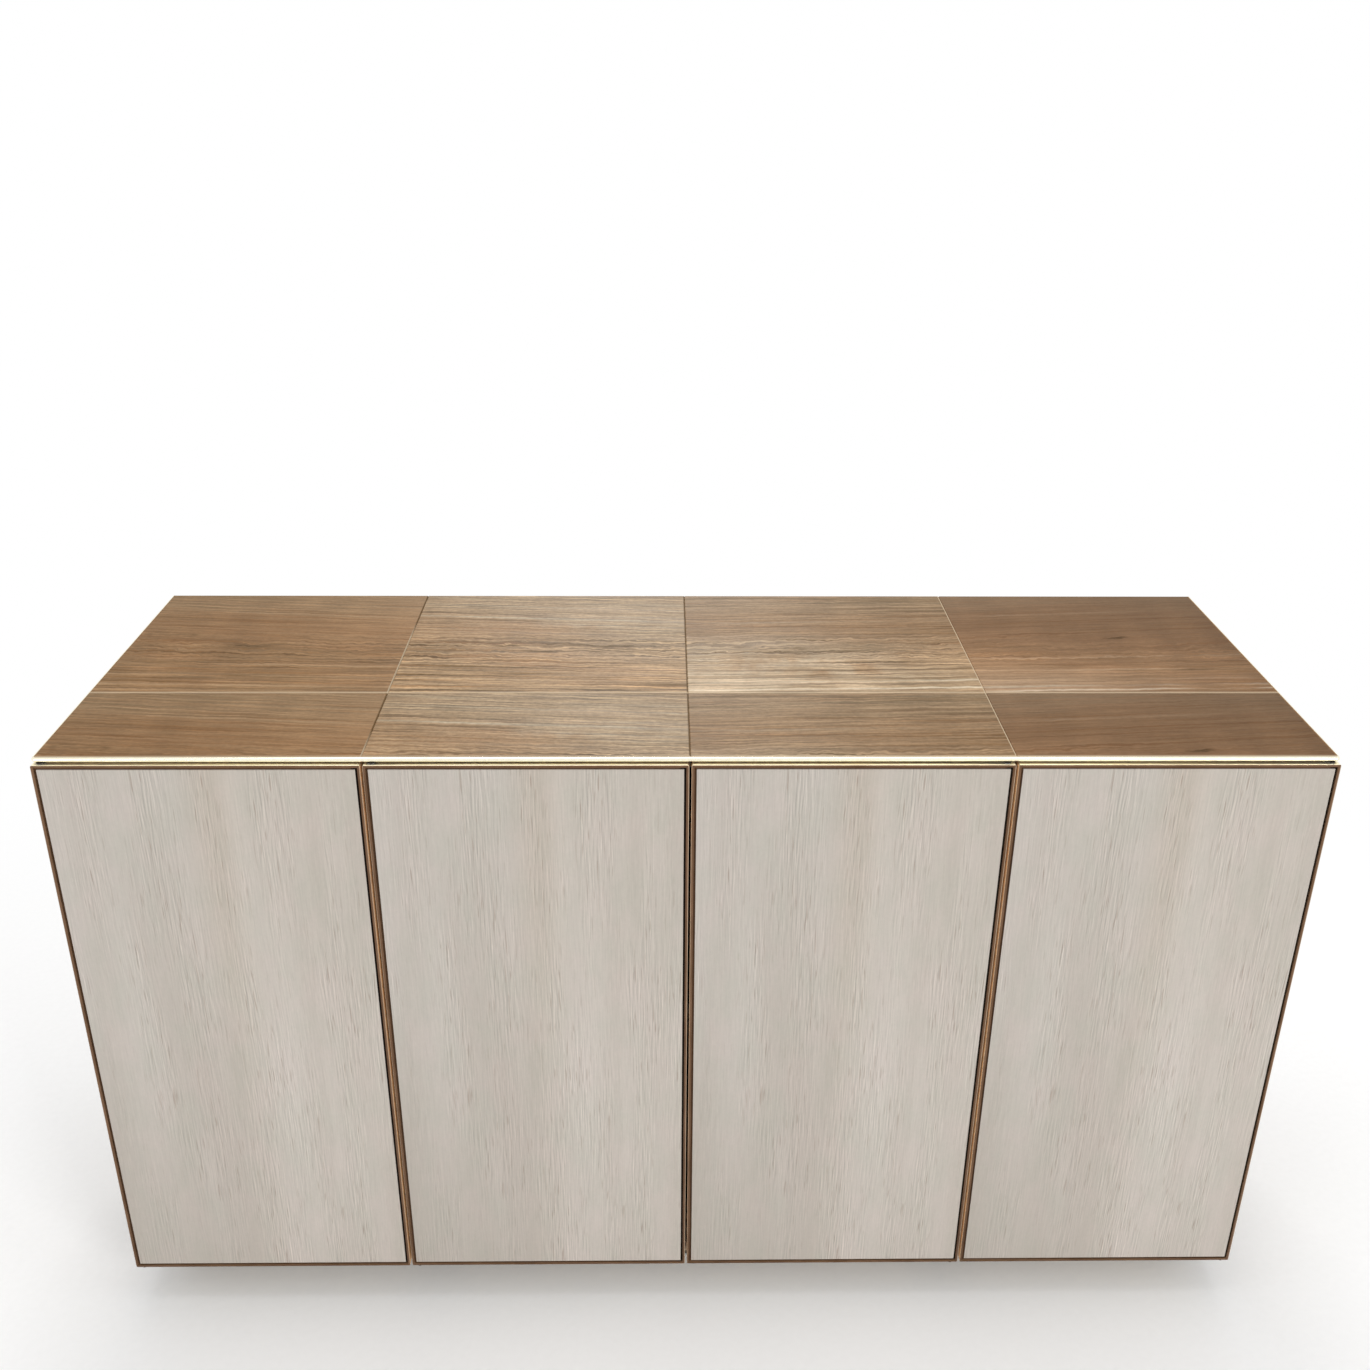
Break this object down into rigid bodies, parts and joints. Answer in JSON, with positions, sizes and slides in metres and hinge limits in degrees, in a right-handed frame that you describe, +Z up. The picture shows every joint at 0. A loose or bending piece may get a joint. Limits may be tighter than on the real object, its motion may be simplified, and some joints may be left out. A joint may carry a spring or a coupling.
{
  "type": "credenza",
  "caption": "Low cupboard with a veneered top in a half-round brass nosing, pale doors in brass edging on pivots, shelved bays behind them, and a plinth set back under the case.",
  "frame": {"origin": "on the floor under the middle of the box around the whole credenza, doors shut", "axes": "+X along the front towards the viewer's right, +Y from the doors to the back, +Z up"},
  "size_m": [1.626, 0.558, 0.914],
  "materials": {
    "walnut": "satin lacquered walnut veneer, grain along the front",
    "brass": "polished brass",
    "antique_brass": "brushed brass, browned",
    "pale_wood": "pale washed wood veneer with fine upright grain",
    "case_wood": "satin walnut-veneered board",
    "core_board": "fibreboard, sealed",
    "plinth_wood": "dark stained wood, matt",
    "steel": "zinc-plated steel",
    "dark_steel": "blackened steel plate, oiled",
    "nylon": "moulded nylon"
  },
  "bodies": {
    "case": {"top_core": "core_board", "leaf_front_1": "walnut", "leaf_front_2": "walnut", "leaf_front_3": "walnut", "leaf_front_4": "walnut", "leaf_back_1": "walnut", "leaf_back_2": "walnut", "leaf_back_3": "walnut", "leaf_back_4": "walnut", "nosing_front": "brass", "nosing_left": "brass", "nosing_right": "brass", "sub_top": "case_wood", "bottom_panel": "case_wood", "end_panel_left": "pale_wood", "end_panel_right": "pale_wood", "divider_left": "case_wood", "divider_right": "case_wood", "back_panel": "core_board", "shelf_left": "case_wood", "shelf_middle": "case_wood", "shelf_right": "case_wood", "shelf_pegs": "steel", "plinth_front": "plinth_wood", "plinth_back": "plinth_wood", "plinth_left": "plinth_wood", "plinth_right": "plinth_wood", "glides": "nylon", "top_pivots": "dark_steel", "bottom_pivots": "dark_steel", "case_screws": "steel", "latch_housings": "nylon", "latch_spring_1": "steel", "latch_spring_2": "steel", "latch_spring_3": "steel", "latch_spring_4": "steel"},
    "door_1": {"door_core_1": "core_board", "door_face_1": "pale_wood", "door_edging_1": "antique_brass", "door_bushes_1": "nylon", "door_strike_1": "steel"},
    "door_2": {"door_core_2": "core_board", "door_face_2": "pale_wood", "door_edging_2": "antique_brass", "door_bushes_2": "nylon", "door_strike_2": "steel"},
    "door_3": {"door_core_3": "core_board", "door_face_3": "pale_wood", "door_edging_3": "antique_brass", "door_bushes_3": "nylon", "door_strike_3": "steel"},
    "door_4": {"door_core_4": "core_board", "door_face_4": "pale_wood", "door_edging_4": "antique_brass", "door_bushes_4": "nylon", "door_strike_4": "steel"},
    "plunger_1": {"latch_plunger_1": "nylon"},
    "plunger_2": {"latch_plunger_2": "nylon"},
    "plunger_3": {"latch_plunger_3": "nylon"},
    "plunger_4": {"latch_plunger_4": "nylon"}
  },
  "joints": [
    {"name": "door_1_hinge", "type": "hinge", "parent": "case", "child": "door_1", "pos_m": [-0.803, -0.2715, 0.0655], "axis": [0, 0, -1], "range_deg": [0, 110]},
    {"name": "door_2_hinge", "type": "hinge", "parent": "case", "child": "door_2", "pos_m": [-0.3957, -0.2715, 0.0655], "axis": [0, 0, -1], "range_deg": [0, 95]},
    {"name": "door_3_hinge", "type": "hinge", "parent": "case", "child": "door_3", "pos_m": [0.3957, -0.2715, 0.0655], "axis": [0, 0, 1], "range_deg": [0, 95]},
    {"name": "door_4_hinge", "type": "hinge", "parent": "case", "child": "door_4", "pos_m": [0.803, -0.2715, 0.0655], "axis": [0, 0, 1], "range_deg": [0, 110]},
    {"name": "latch_1_push", "type": "slide", "parent": "case", "child": "plunger_1", "axis": [0, 1, 0], "range_m": [0, 0.003], "stiffness_N_per_m": 150, "springref_m": -0.004, "deforming": ["latch_spring_1"]},
    {"name": "latch_2_push", "type": "slide", "parent": "case", "child": "plunger_2", "axis": [0, 1, 0], "range_m": [0, 0.003], "stiffness_N_per_m": 150, "springref_m": -0.004, "deforming": ["latch_spring_2"]},
    {"name": "latch_3_push", "type": "slide", "parent": "case", "child": "plunger_3", "axis": [0, 1, 0], "range_m": [0, 0.003], "stiffness_N_per_m": 150, "springref_m": -0.004, "deforming": ["latch_spring_3"]},
    {"name": "latch_4_push", "type": "slide", "parent": "case", "child": "plunger_4", "axis": [0, 1, 0], "range_m": [0, 0.003], "stiffness_N_per_m": 150, "springref_m": -0.004, "deforming": ["latch_spring_4"]}
  ]
}
